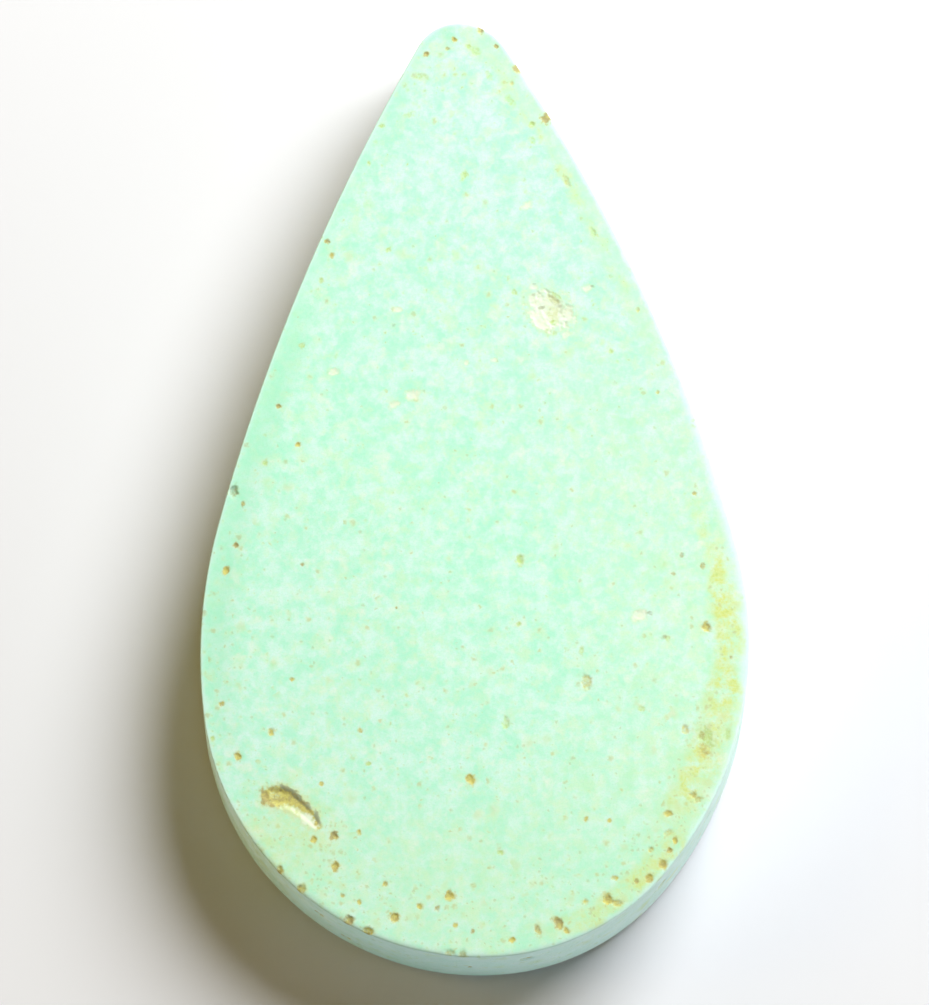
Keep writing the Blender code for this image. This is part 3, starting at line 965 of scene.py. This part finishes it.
@dataclass
class Wiring:
    """Adds nodes to one node tree and joins their sockets."""

    tree: NodeTree

    def feed(self, socket: Socket, value: object) -> None:
        """Joins a socket to another one, or gives it a plain value."""
        if isinstance(value, Socket):
            self.tree.links.new(value, socket)
        else:
            socket.default_value = value

    def add(self, kind: str, inputs: dict[object, object], **settings: object) -> Node:
        """Adds a shader node.

        Args:
            kind: The last part of Blender's name for the node.
            inputs: Sockets or values for its inputs, by name or number.
            settings: Values for its properties.

        Returns:
            The node.
        """
        node = self.tree.nodes.new("ShaderNode" + kind)
        for name, value in settings.items():
            setattr(node, name, value)
        for name, value in inputs.items():
            self.feed(node.inputs[name], value)
        return node

    def math(self, operation: str, first: object, second: object, clamp: bool = False) -> Socket:
        """One sum of two sockets or numbers, kept from 0 to 1 where it is clamped."""
        return self.add("Math", {0: first, 1: second}, operation=operation, use_clamp=clamp).outputs[0]

    def times(self, first: object, second: object) -> Socket:
        """The product of two sockets or numbers."""
        return self.math("MULTIPLY", first, second)

    def rise(self, value: Socket, low: float, high: float, start: float = 0.0, end: float = 1.0) -> Socket:
        """A smooth rise from start to end as value goes from low to high."""
        inputs = {"Value": value, "From Min": low, "From Max": high, "To Min": start, "To Max": end}
        return self.add("MapRange", inputs, interpolation_type="SMOOTHSTEP").outputs["Result"]

    def mix(self, share: object, first: object, second: object) -> Socket:
        """A colour between two colours."""
        return self.add("Mix", {0: share, 6: first, 7: second}, data_type="RGBA").outputs[2]

    def tint(self, colour: object, share: object, most: float, tint: object) -> Socket:
        """A colour moved towards a tint, by most where the share is 1."""
        return self.mix(self.times(share, most), colour, tint)

    def scaled(self, vector: Socket, factor: object) -> Socket:
        """A vector times a number."""
        return self.add("VectorMath", {0: vector, "Scale": factor}, operation="SCALE").outputs[0]

    def moved(self, vector: Socket, shift: object) -> Socket:
        """A vector plus another one."""
        return self.add("VectorMath", {0: vector, 1: shift}, operation="ADD").outputs[0]

    def noise(self, where: Socket, cloud: Cloud, output: str = "Fac") -> Socket:
        """A noise texture's output of that name at a place."""
        place = where if cloud.grains == 1.0 else self.scaled(where, cloud.grains)
        inputs = {"Vector": self.moved(place, (cloud.shift,) * 3), "Scale": 1.0}
        inputs |= {"Detail": cloud.detail, "Roughness": cloud.rough}
        return self.add("TexNoise", inputs).outputs[output]

    def value(self, name: str) -> Socket:
        """One of the mesh's vertex values."""
        return self.add("Attribute", {}, attribute_name=name).outputs["Fac"]

    def millimetres(self) -> Socket:
        """The place on the object, in millimetres."""
        return self.scaled(self.add("TexCoord", {}).outputs["Object"], 1.0 / MM)

    def use(self, tree: NodeTree, **inputs: object) -> dict[str, Socket]:
        """Places a node group with those inputs, and gives its outputs by name."""
        return {output.name: output for output in self.add("Group", inputs, node_tree=tree).outputs}

    def put_out(self, **outputs: Socket) -> NodeTree:
        """Feeds a group's outputs by name, and gives the finished group."""
        taken = self.tree.nodes.new("NodeGroupOutput")
        for name, value in outputs.items():
            self.feed(taken.inputs[name], value)
        return self.tree


def open_group(
    name: str, inputs: dict[str, float], outputs: tuple[str, ...]
) -> tuple[Wiring, dict[str, Socket], Socket]:
    """Makes an empty node group.

    Args:
        name: Its name.
        inputs: Its inputs after Vector, by name, with the values that they start with.
        outputs: The names of its outputs.

    Returns:
        Its wiring, its inputs by name, and Vector in units of Size.
    """
    tree = bpy.data.node_groups.new(name, "ShaderNodeTree")
    tree.interface.new_socket(name="Vector", in_out="INPUT", socket_type="NodeSocketVector")
    for title, value in inputs.items():
        socket = tree.interface.new_socket(name=title, in_out="INPUT", socket_type="NodeSocketFloat")
        socket.default_value = value
    for title in outputs:
        tree.interface.new_socket(name=title, in_out="OUTPUT", socket_type="NodeSocketFloat")
    wiring = Wiring(tree)
    given = {output.name: output for output in tree.nodes.new("NodeGroupInput").outputs}
    return wiring, given, wiring.scaled(given["Vector"], wiring.math("DIVIDE", 1.0, given["Size"]))


def mottle_group() -> NodeTree:
    """Cloudy patches of a natural stone: how pale it is, how warm, and rare bleached spots.

    Returns:
        The group, with inputs Vector and Size, and outputs Pale, Warm and Bleached.
    """
    wiring, _, where = open_group("stone mottle", {"Size": 0.5}, ("Pale", "Warm", "Bleached"))
    return wiring.put_out(
        Pale=wiring.rise(wiring.noise(where, Cloud(1.0, 4.0, 0.68, 0.0)), 0.34, 0.66),
        Warm=wiring.rise(wiring.noise(where, Cloud(1.0, 4.0, 0.62, 17.3)), 0.36, 0.68),
        Bleached=wiring.rise(wiring.noise(where, Cloud(0.8, 2.0, 0.6, 41.9)), 0.56, 0.72),
    )


def specks_group() -> NodeTree:
    """Small round specks of mineral dirt, more of them where the density is high.

    Each cell of a Voronoi pattern may hold one speck, with its own size and tone.

    Returns:
        The group, with inputs Vector, Size and Density, and outputs Mask, Halo and Tone.
    """
    inputs = {"Size": 0.3, "Density": 0.2}
    wiring, given, where = open_group("mineral specks", inputs, ("Mask", "Halo", "Tone"))
    bend = wiring.noise(where, Cloud(2.2, 1.0, 0.6, 5.5), "Color")
    bent = wiring.moved(where, wiring.scaled(bend, 0.55))
    cells = wiring.add("TexVoronoi", {"Vector": bent, "Scale": 1.0}, feature="F1")
    draw = wiring.add("SeparateColor", {0: cells.outputs["Color"]}).outputs
    crowd = wiring.noise(given["Vector"], Cloud(0.5, 2.0, 0.5, 71.0))
    share = wiring.math("POWER", given["Density"], 2.0)
    share = wiring.times(share, wiring.rise(crowd, 0.35, 0.65, 0.4, 1.7))
    present = wiring.math("LESS_THAN", draw["Red"], share)
    reach = wiring.rise(draw["Green"], 0.0, 1.0, 0.14, 0.36)
    inside = wiring.math("DIVIDE", cells.outputs["Distance"], reach)
    return wiring.put_out(
        Mask=wiring.times(wiring.rise(inside, 0.20, 1.20, 1.0, 0.0), present),
        Halo=wiring.times(wiring.rise(inside, 0.9, 1.9, 1.0, 0.0), present),
        Tone=draw["Blue"],
    )


def grain_group() -> NodeTree:
    """The fine tooth of a ground surface.

    Returns:
        The group, with inputs Vector and Size, and outputs Height and Roughness.
    """
    wiring, _, where = open_group("ground grain", {"Size": 0.2}, ("Height", "Roughness"))
    dull = wiring.noise(where, Cloud(0.15, 2.0, 0.5, 23.0))
    return wiring.put_out(
        Height=wiring.noise(where, Cloud(1.0, 4.0, 0.6, 3.1)),
        Roughness=wiring.rise(dull, 0.3, 0.7, 0.74, 0.92),
    )


def principled(name: str, values: dict[str, object]) -> Material:
    """Makes a material.

    Args:
        name: Its name.
        values: Plain values for its shader's own sockets.

    Returns:
        The material.
    """
    material = bpy.data.materials.new(name)
    material.use_nodes = True
    for socket, value in values.items():
        material.node_tree.nodes["Principled BSDF"].inputs[socket].default_value = value
    return material


Colour = tuple[float, float, float, float]


@dataclass(frozen=True)
class Palette:
    """The stone's colours, as linear values."""

    mint: Colour = (0.380, 0.785, 0.622, 1.0)
    aqua: Colour = (0.615, 0.815, 0.815, 1.0)
    lime: Colour = (0.570, 0.780, 0.530, 1.0)
    blush: Colour = (0.710, 0.800, 0.730, 1.0)
    # Also the painted shade along the left rim.
    deep: Colour = (0.370, 0.790, 0.590, 1.0)
    shade: Colour = (0.340, 0.640, 0.500, 1.0)
    moss: Colour = (0.420, 0.760, 0.490, 1.0)
    stain: Colour = (0.620, 0.670, 0.200, 1.0)
    ochre: Colour = (0.560, 0.500, 0.145, 1.0)
    umber: Colour = (0.370, 0.300, 0.125, 1.0)
    olive: Colour = (0.450, 0.600, 0.220, 1.0)
    # Cream and straw also give the painted light along the groove's and the scar's lower-left edges.
    cream: Colour = (0.740, 0.780, 0.650, 1.0)
    straw: Colour = (0.580, 0.620, 0.350, 1.0)
    # Also the painted shade along the groove's and the scar's shaded walls.
    ash: Colour = (0.280, 0.320, 0.240, 1.0)
    # Also the painted highlight along the right edge of the face.
    worn_and_highlight: Colour = (0.660, 0.860, 0.880, 1.0)
    dust: Colour = (0.740, 0.900, 0.920, 1.0)


@dataclass(frozen=True)
class StoneFinish:
    """How one part of the stone is finished."""

    name: str
    groups: dict[str, NodeTree]
    mottle_size: float
    sugar_size: float
    grain_size: float
    grain_height: float
    sawn: bool
    tints: Palette = Palette()
    drift_size: float = 6.0
    blotches: Cloud = Cloud(1.3, 4.0, 0.65, 87.0)
    grit: Cloud = Cloud(14.0, 2.0, 0.7, 63.0)
    streaks: Cloud = Cloud(0.8, 3.0, 0.6, 9.0)
    patches: Cloud = Cloud(1.8, 6.0, 0.72, 12.0)
    fields: Cloud = Cloud(0.45, 2.0, 0.5, 71.0)
    ragged: Cloud = Cloud(8.0, 3.0, 0.75, 31.0)
    crumbs: Cloud = Cloud(4.5, 3.0, 0.7, 53.0)

    def material(self) -> Material:
        """The material of that part."""
        material = principled(self.name, {"IOR": 1.5, "Specular IOR Level": 0.35})
        StoneNodes(material.node_tree, self).dress()
        return material


@dataclass
class StoneNodes(Wiring):
    """The nodes that give one part of the stone its finish."""

    finish: StoneFinish

    def dress(self) -> None:
        """Feeds the material's shader."""
        self.where = self.millimetres()
        colour, specks = self.specked(self.ground())
        tooth = self.use(self.finish.groups["grain"], Vector=self.where, Size=self.finish.grain_size)
        height = self.math("SUBTRACT", tooth["Height"], specks)
        depth = self.finish.grain_height * MM
        bump = self.add("Bump", {"Strength": 1.0, "Distance": depth, "Height": height})
        shader = self.tree.nodes["Principled BSDF"]
        self.feed(shader.inputs["Base Color"], self.filled(colour))
        self.feed(shader.inputs["Roughness"], tooth["Roughness"])
        self.feed(shader.inputs["Normal"], bump.outputs[0])

    def ground(self) -> Socket:
        """The clean stone's colour: mint, mottled pale and warm, rubbed grey where it is sawn, with
        painted shade along the left rim and a painted highlight along the right edge.

        Returns:
            The colour.
        """
        finish = self.finish
        tints = finish.tints
        mottle, drift, sugar = (
            self.use(finish.groups["mottle"], Vector=self.where, Size=size)
            for size in (finish.mottle_size, finish.drift_size, finish.sugar_size)
        )
        warm = self.value("warm")
        glow = self.times(warm, 0.35)
        colour = self.tint(tints.mint, mottle["Pale"], 0.95, tints.aqua)
        warmth = self.math("ADD", mottle["Warm"], glow)
        warmth = self.math("ADD", warmth, self.times(drift["Warm"], 0.35))
        colour = self.mix(self.math("SUBTRACT", warmth, 0.59, True), colour, tints.lime)
        bleached = self.math("ADD", self.times(mottle["Bleached"], 0.65), glow, True)
        colour = self.mix(bleached, colour, tints.blush)
        for share, most, tint in (
            (sugar["Pale"], 0.26, tints.blush),
            (sugar["Warm"], 0.26, tints.deep),
            # Painted shade along the left rim.
            (self.value("left_rim_shade"), 0.55, tints.deep),
            (self.value("moss"), 0.6, tints.moss),
        ):
            colour = self.tint(colour, share, most, tint)
        blotches = self.rise(self.noise(self.where, finish.blotches), 0.47, 0.68, 0.0, 0.8)
        colour = self.mix(self.times(blotches, warm), colour, tints.moss)
        grit = self.rise(self.noise(self.where, finish.grit), 0.45, 0.75, 0.0, 0.25)
        colour = self.mix(grit, colour, tints.shade)
        if finish.sawn:
            streaks = self.rise(self.noise(self.where, finish.streaks), 0.4, 0.75, 0.0, 0.6)
            return self.mix(streaks, self.mix(0.75, colour, tints.worn_and_highlight), tints.dust)
        # Paler at the rubbed edges, and a painted highlight along the right edge.
        return self.tint(colour, self.value("wear_and_highlight"), 0.6, tints.worn_and_highlight)

    def specked(self, colour: Socket) -> tuple[Socket, Socket]:
        """The colour with its stain and its specks.

        Args:
            colour: The clean stone's colour.

        Returns:
            The colour, and how much of one of the finest specks is at each place.
        """
        finish = self.finish
        tints = finish.tints
        patches = self.noise(self.where, finish.patches)
        fields = self.rise(self.noise(self.where, finish.fields), 0.35, 0.60, 0.65, 1.0)
        spread = self.times(self.value("stain"), fields)
        share = self.times(spread, self.rise(patches, 0.36, 0.62, 0.12, 1.0))
        colour = self.mix(share, colour, tints.stain)
        blots = self.times(spread, self.rise(patches, 0.55, 0.70, 0.0, 0.75))
        colour = self.mix(blots, colour, tints.olive)
        density = self.value("specks")
        strength = 0.4 if finish.sawn else 1.0
        for size, most, dark, light in (
            (0.75, 0.34, tints.olive, tints.straw),
            (0.40, 0.50, tints.ash, tints.ochre),
            (0.24, 0.30, tints.umber, tints.olive),
        ):
            specks = self.use(finish.groups["specks"], Vector=self.where, Size=size, Density=density)
            colour = self.tint(colour, specks["Halo"], 0.25, tints.lime)
            tone = self.mix(specks["Tone"], dark, light)
            colour = self.tint(colour, specks["Mask"], most * strength, tone)
        return colour, specks["Mask"]

    def filled(self, colour: Socket) -> Socket:
        """The colour with what lies in the hollows and marks, and with the painted shade and painted light
        that some fills give along the groove's and the scar's walls.

        Args:
            colour: The colour of the specked stone.

        Returns:
            The colour.
        """
        tints = self.finish.tints
        ragged = self.noise(self.where, self.finish.ragged)
        crumbs = self.rise(self.noise(self.where, self.finish.crumbs), 0.46, 0.62, 0.0, 0.7)
        rough = self.rise(ragged, 0.25, 0.75, 0.75, 1.4)
        gentle = self.rise(ragged, 0.25, 0.75, 0.8, 1.25)
        rim = self.rise(self.times(self.value("halo"), rough), 0.3, 1.2, 0.0, 0.5)
        colour = self.mix(rim, colour, tints.straw)
        for fill, tint, other, most, broken in (
            (Fill.CREAM, tints.cream, tints.blush, 0.9, gentle),
            (Fill.STRAW, tints.straw, tints.cream, 0.85, gentle),
            (Fill.OLIVE, tints.olive, tints.lime, 0.85, rough),
            (Fill.OCHRE, tints.ochre, tints.umber, 0.95, rough),
            (Fill.ASH, tints.ash, tints.umber, 0.85, gentle),
            (Fill.UMBER, tints.umber, tints.ochre, 0.9, rough),
        ):
            there = self.rise(self.times(self.value(fill.value), broken), 0.16, 0.88, 0.0, most)
            colour = self.mix(there, colour, self.mix(crumbs, tint, other))
        return colour


# ---- the studio


class Lamp(NamedTuple):
    """A round soft lamp: its turn from +Y to +X and height in degrees, distance and size in metres."""

    name: str
    turn: float
    height: float
    distance: float
    size: float
    power: float
    colour: tuple[float, float, float]


def placed(name: str, data: bpy.types.ID) -> Object:
    """Adds an object to the scene.

    Args:
        name: Its name.
        data: Its mesh, light or camera.

    Returns:
        The object.
    """
    thing = bpy.data.objects.new(name, data)
    bpy.context.scene.collection.objects.link(thing)
    return thing


@dataclass
class Studio:
    """A pale floor, a large soft key light, three low fill lights, and the camera.

    Sizes are in metres, but the view's target, its span and the sensor are in millimetres.
    """

    floor_side: float = 3.0
    floor_drop: float = 0.00002
    floor_colour: Colour = (0.785, 0.755, 0.850, 1.0)
    aim: tuple[float, float, float] = (0.0, 0.0, 0.003)
    lamps: tuple[Lamp, ...] = (
        Lamp("key", 40.5, 42.3, 0.25, 0.185, 1.175, (0.93, 1.00, 0.94)),
        Lamp("front fill", 180.0, 2.0, 0.5, 0.2, 0.70, (0.68, 1.00, 0.97)),
        Lamp("left fill", 280.0, 22.0, 0.5, 0.3, 0.66, (1.00, 0.70, 0.14)),
        Lamp("right fill", 110.0, 5.0, 0.5, 0.3, 0.65, (1.00, 0.75, 0.60)),
    )
    room_colour: Colour = (1.0, 0.84, 0.30, 1.0)
    room_strength: float = 0.06
    view_height: float = 78.36
    view_turn: float = 2.05
    view_distance: float = 0.6
    view_target: tuple[float, float, float] = (-0.205, -0.65, 5.0)
    view_span: float = 42.13
    sensor: float = 36.0

    def floor(self) -> Object:
        """The pale floor, just below the stone."""
        half = self.floor_side / 2
        low = -self.floor_drop
        mesh = bpy.data.meshes.new("floor")
        corners = [(-half, -half, low), (half, -half, low), (half, half, low), (-half, half, low)]
        mesh.from_pydata(corners, [], [(0, 1, 2, 3)])
        values = {"Base Color": self.floor_colour, "Roughness": 0.9, "Specular IOR Level": 0.1}
        mesh.materials.append(principled("pale_paper", values))
        return placed("floor", mesh)

    def light(self, lamp: Lamp) -> None:
        """Hangs a lamp that faces the stone."""
        light = bpy.data.lights.new(lamp.name, "AREA")
        light.shape = "DISK"
        light.size = lamp.size
        light.energy = lamp.power
        light.color = lamp.colour
        turn, height = math.radians(lamp.turn), math.radians(lamp.height)
        flat = math.cos(height)
        away = Vector((math.sin(turn) * flat, math.cos(turn) * flat, math.sin(height)))
        hung = placed(lamp.name, light)
        hung.location = Vector(self.aim) + away * lamp.distance
        hung.rotation_mode = "QUATERNION"
        hung.rotation_quaternion = (-away).to_track_quat("-Z", "Y")
        hung.visible_camera = False

    def world(self) -> None:
        """Dim warm light from all round."""
        world = bpy.data.worlds.new("room")
        world.use_nodes = True
        background = world.node_tree.nodes["Background"]
        background.inputs["Color"].default_value = self.room_colour
        background.inputs["Strength"].default_value = self.room_strength
        bpy.context.scene.world = world

    def camera(self) -> None:
        """The camera, high over the foot of the stone and a little to its left."""
        height = math.radians(self.view_height)
        turn = math.radians(self.view_turn)
        flat = math.cos(height)
        back = Vector((-math.sin(turn) * flat, -math.cos(turn) * flat, math.sin(height)))
        right = Vector((math.cos(turn), -math.sin(turn), 0.0))
        data = bpy.data.cameras.new("camera")
        data.sensor_width = self.sensor
        data.lens = self.sensor * self.view_distance / (self.view_span * MM)
        data.clip_start = 0.01
        data.clip_end = 20.0
        camera = placed("camera", data)
        stand = Vector(self.view_target) * MM + back * self.view_distance
        turned = Matrix((right, back.cross(right), back)).transposed().to_4x4()
        camera.matrix_world = Matrix.Translation(stand) @ turned
        bpy.context.scene.camera = camera

    def build(self) -> None:
        """Sets up the whole studio."""
        self.floor()
        for lamp in self.lamps:
            self.light(lamp)
        self.world()
        self.camera()
        bpy.context.scene.view_settings.view_transform = "Standard"
        log.info("studio: floor, lamps and camera")


# ---- the whole


def make_stone() -> Object:
    """Builds and dresses the stone.

    Returns:
        The stone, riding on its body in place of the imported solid.
    """
    low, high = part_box(NODE)
    outline = Outline(
        length=(high.y - low.y) / MM,
        left=Side(sign=-1, half_width=11.7, tip_radius=1.92, joints=(58.6, 73.0, 94.8)),
        right=Side(sign=1, half_width=11.3, tip_radius=2.34, joints=(58.4, 77.3, 131.6)),
    )
    stone = TeardropStone(outline, Edges(thickness=(high.z - low.z) / MM)).build()
    groups = {"mottle": mottle_group(), "specks": specks_group(), "grain": grain_group()}
    finishes = {
        Part.FACE: StoneFinish(
            "turquoise_face", groups, mottle_size=0.65, sugar_size=0.15,
            grain_size=0.2, grain_height=0.003, sawn=False,
        ),
        Part.SAWN: StoneFinish(
            "turquoise_sawn", groups, mottle_size=0.7, sugar_size=0.2,
            grain_size=0.3, grain_height=0.02, sawn=True,
        ),
    }
    for part in Part:
        stone.data.materials.append(finishes[part].material())
    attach(stone, BODY)
    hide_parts(NODE)
    return stone


def main() -> None:
    """Builds the stone and the studio, and reports each."""
    logging.basicConfig(level=logging.INFO, format="%(message)s")
    stone = make_stone()
    log.info("%s stands for %s", stone.name, NODE)
    Studio().build()


if __name__ == "__main__":
    main()
